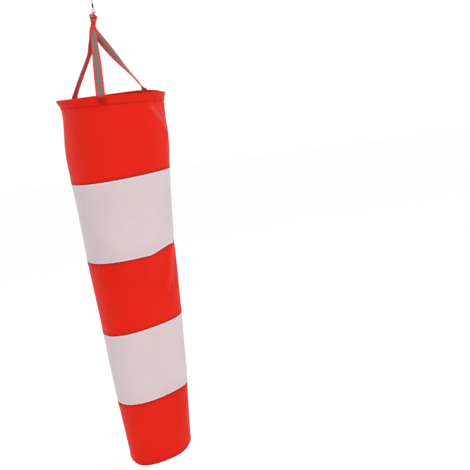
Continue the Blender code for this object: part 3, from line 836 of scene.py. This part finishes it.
def seam_shade(depths, top, bottom, white):
    """Tint of the cloth at each of its points, with painted shade and light in it. A red edge is deeper
    where stitching draws it in and by a painted shade line, a white edge has a painted highlight where its
    fold catches light, white cloth carries painted light through the red lap and a painted reflection, and
    a fold's crest has a painted highlight."""
    rows = np.array(depths)[:, None, None]
    turns = TURNS[None, :, None]
    tint = np.ones((len(depths), COLUMNS, 3))
    # painted shade line along each red edge, partly the real draw of the stitching; painted highlight along
    # each white edge where its fold catches light
    for seam, way in ((top, 1), (bottom, -1)):
        away = (rows - seam) * way
        if white:
            tint = tint * (1 + 0.30 * np.exp(-((away - 0.0014) / 0.0019) ** 2))
        else:
            tint = tint * (1 - 0.58 * np.exp(-((away - 0.0010) / 0.0025) ** 2))
    if white:
        # painted light through the red lap: white cloth pinker towards its lower seam
        painted_lap_glow = np.exp(-((rows - bottom) / 0.022) ** 2)
        # painted reflection of red light from inside: white pinker mid-face, greyer towards its sides
        side = np.abs(np.cos(turns + FLAT_YAW)) ** 4
        tint = tint * (1 - painted_lap_glow * np.array([0.0, 0.05, 0.045]))
        tint = tint * (1 + side * np.array([-0.03, 0.045, 0.05]))
    else:
        radius = MOUTH + (TAIL - MOUTH) * rows / SEAM_DEPTH[-1]
        # painted highlight: fold crests paler and pinker where the front lamp catches them
        for number, breadth, strength in FOLD_HIGHLIGHTS:
            start, end = RIDGES[number][1], RIDGES[number][3]
            fading = 1 - 0.85 * ease((rows - start) / (end - start))
            painted_highlight = ridge_share(rows, turns, radius, RIDGES[number], breadth) * strength * fading
            tint = tint * (1 + painted_highlight * np.array([0.06, 4.0, 9.0]))
    return tint


fold_turns = np.linspace(200, -20, 13)
fold = [(HOOP_DEPTH - 0.0022 * math.sin(math.radians(t)), HOOP_STAND + 0.0022 * math.cos(math.radians(t)))
        for t in fold_turns]
inner_wall = [(d, -0.0024 - 0.0020 * ease((0.020 - d) / 0.012)) for d in np.linspace(HEM, 0.0045, 9)]
outer_wall = [(d, -0.0001 - 0.0009 * ease((d - 0.003) / 0.008) + 0.0012 * ease((d - 0.018) / 0.006))
              for d in np.linspace(0.005, HEM, 10)]
profile = inner_wall + fold + outer_wall
# painted shade on the hem: the doubled cloth a little darker all round
hem_painted_shade = np.full((len(profile), COLUMNS, 3), 0.94)
hem_rows = np.array([d for d, _ in profile])[:, None]
# painted shadow of each strap's end seen through the hem's cloth
for angle, *_ in STRAPS.values():
    gap = np.abs((TURNS - leg_turn(angle) + math.pi) % (2 * math.pi) - math.pi) * MOUTH
    patch = (1 - ease((gap - 0.0105) / 0.004))[None, :] * (1 - ease((hem_rows - 0.019) / 0.004)) \
        * ease((hem_rows - 0.0015) / 0.003)
    hem_painted_shade *= 1 - 0.34 * patch[..., None]
# painted shade line along the hem's sewn lower edge
hem_painted_shade *= 1 - 0.12 * np.exp(-((hem_rows - HEM + 0.001) / 0.0018) ** 2)[..., None]
hem = tube("mouth_hem_casing", [d for d, _ in profile], [s for _, s in profile], red_cloth, shade=hem_painted_shade)
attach(hem, "mouth")
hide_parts("mouth_hem")


def sewn_round(name, depths, finish):
    """Rows of stitching right round the sock at the depths given."""
    turns = np.linspace(0, 2 * math.pi, 361)
    rows = []
    for depth in depths:
        places = sock_place(depth, turns, SEWN_STAND)
        outward = unit(sock_place(depth, turns, SEWN_STAND + 0.001) - places)
        rows.append(stitches(name, places, outward, finish))
    if len(rows) > 1:
        body = bmesh.new()
        for row in rows:
            body.from_mesh(row.data)
        body.to_mesh(rows[0].data)
        body.free()
        for row in rows[1:]:
            bpy.data.objects.remove(row)
    return rows[0]


hem_sewing = sewn_round("hem_stitching", (HEM - SEWN_IN,), red_thread)
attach(hem_sewing, "mouth")
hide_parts("hem_thread")

# ---- five stripes ----
# Each stripe is one ring of ripstop, closed by a seam up the back. The red edges lap outside the
# white ones, with two rows of stitching right round. Each hangs empty from the one above.

NAMES = ("stripe_1_red_cloth", "stripe_2_white_cloth", "stripe_3_red_cloth", "stripe_4_white_cloth",
         "stripe_5_red_cloth")
NODES = ("band_1_red", "band_2_white", "band_3_red", "band_4_white", "band_5_red")
BODIES = ("mouth", "stripe_2", "stripe_3", "stripe_4", "stripe_5")


def hang_between(piece, number):
    """Attaches a piece of the first stripe to the mouth's body; any other piece only has its placement
    baked into its mesh.
    """
    body = BODIES[number - 1]
    if number == 1:
        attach(piece, body)
        return
    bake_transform(piece)


for number in range(1, 6):
    top, bottom = SEAM_DEPTH[number - 1], SEAM_DEPTH[number]
    white = number % 2 == 0
    first = HEM if number == 1 else top
    depths = np.linspace(first, bottom, int((bottom - first) / 0.0028))
    if number == 1:
        rows = [(HEM - 0.014, -0.0016), (HEM - 0.007, -0.0016)]
        rows += [(d, -0.0010 + 0.0010 * ease((d - HEM) / 0.010)) for d in depths]
    elif white:
        rows = [(d, -0.0008) for d in np.linspace(top - LAP, top, 4)[:-1]]
        rows += [(d, -0.0008 + 0.0006 * (ease((d - top) / 0.006) - ease((d - bottom + 0.006) / 0.006)))
                 for d in depths]
        rows += [(d, -0.0008) for d in np.linspace(bottom, bottom + LAP, 4)[1:]]
    else:
        rows = [(d, 0.0) for d in depths]
    if number == 5:
        rows += [(bottom + 0.0004, -0.0006), (bottom - 0.0002, -0.0012), (bottom - 0.012, -0.0012)]
    top_edge = -1 if number == 1 else top
    tint = seam_shade([d for d, _ in rows], top_edge, bottom, white)
    cloth = tube(NAMES[number - 1], [d for d, _ in rows], [s for _, s in rows],
                 white_cloth if white else red_cloth, shade=tint)
    hang_between(cloth, number)
    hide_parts(NODES[number - 1])

# ---- seam stitching ----
# Two rows of thread run round each lap, one round the tail's turned hem and one down the back
# of each stripe. Red thread is used on red cloth, white on white.

for number in range(1, 5):
    seam = SEAM_DEPTH[number]
    way = -1 if number % 2 else 1
    sewn = sewn_round("lap_%d_stitching" % number, (seam + way * SEWN_IN, seam + way * (LAP - SEWN_IN)),
                      red_thread)
    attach(sewn, BODIES[number - 1])
    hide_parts("seam_%d_thread" % number)
tail_sewing = sewn_round("tail_stitching", (SEAM_DEPTH[5] - 0.010,), red_thread)
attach(tail_sewing, "stripe_5")
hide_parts("tail_hem_thread")

for number in range(1, 6):
    first = HEM + 0.002 if number == 1 else SEAM_DEPTH[number - 1] + 0.001
    last = SEAM_DEPTH[number] - 0.001
    run = np.linspace(first, last, 80)
    places = sock_place(run, BACK, SEWN_STAND)
    outward = unit(sock_place(run, BACK, SEWN_STAND + 0.001) - places)
    white = number % 2 == 0
    sewn = stitches("back_seam_%d_stitching" % number, places, outward,
                    white_thread if white else red_thread)
    hang_between(sewn, number)
    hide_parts("side_seam_%d_thread" % number)
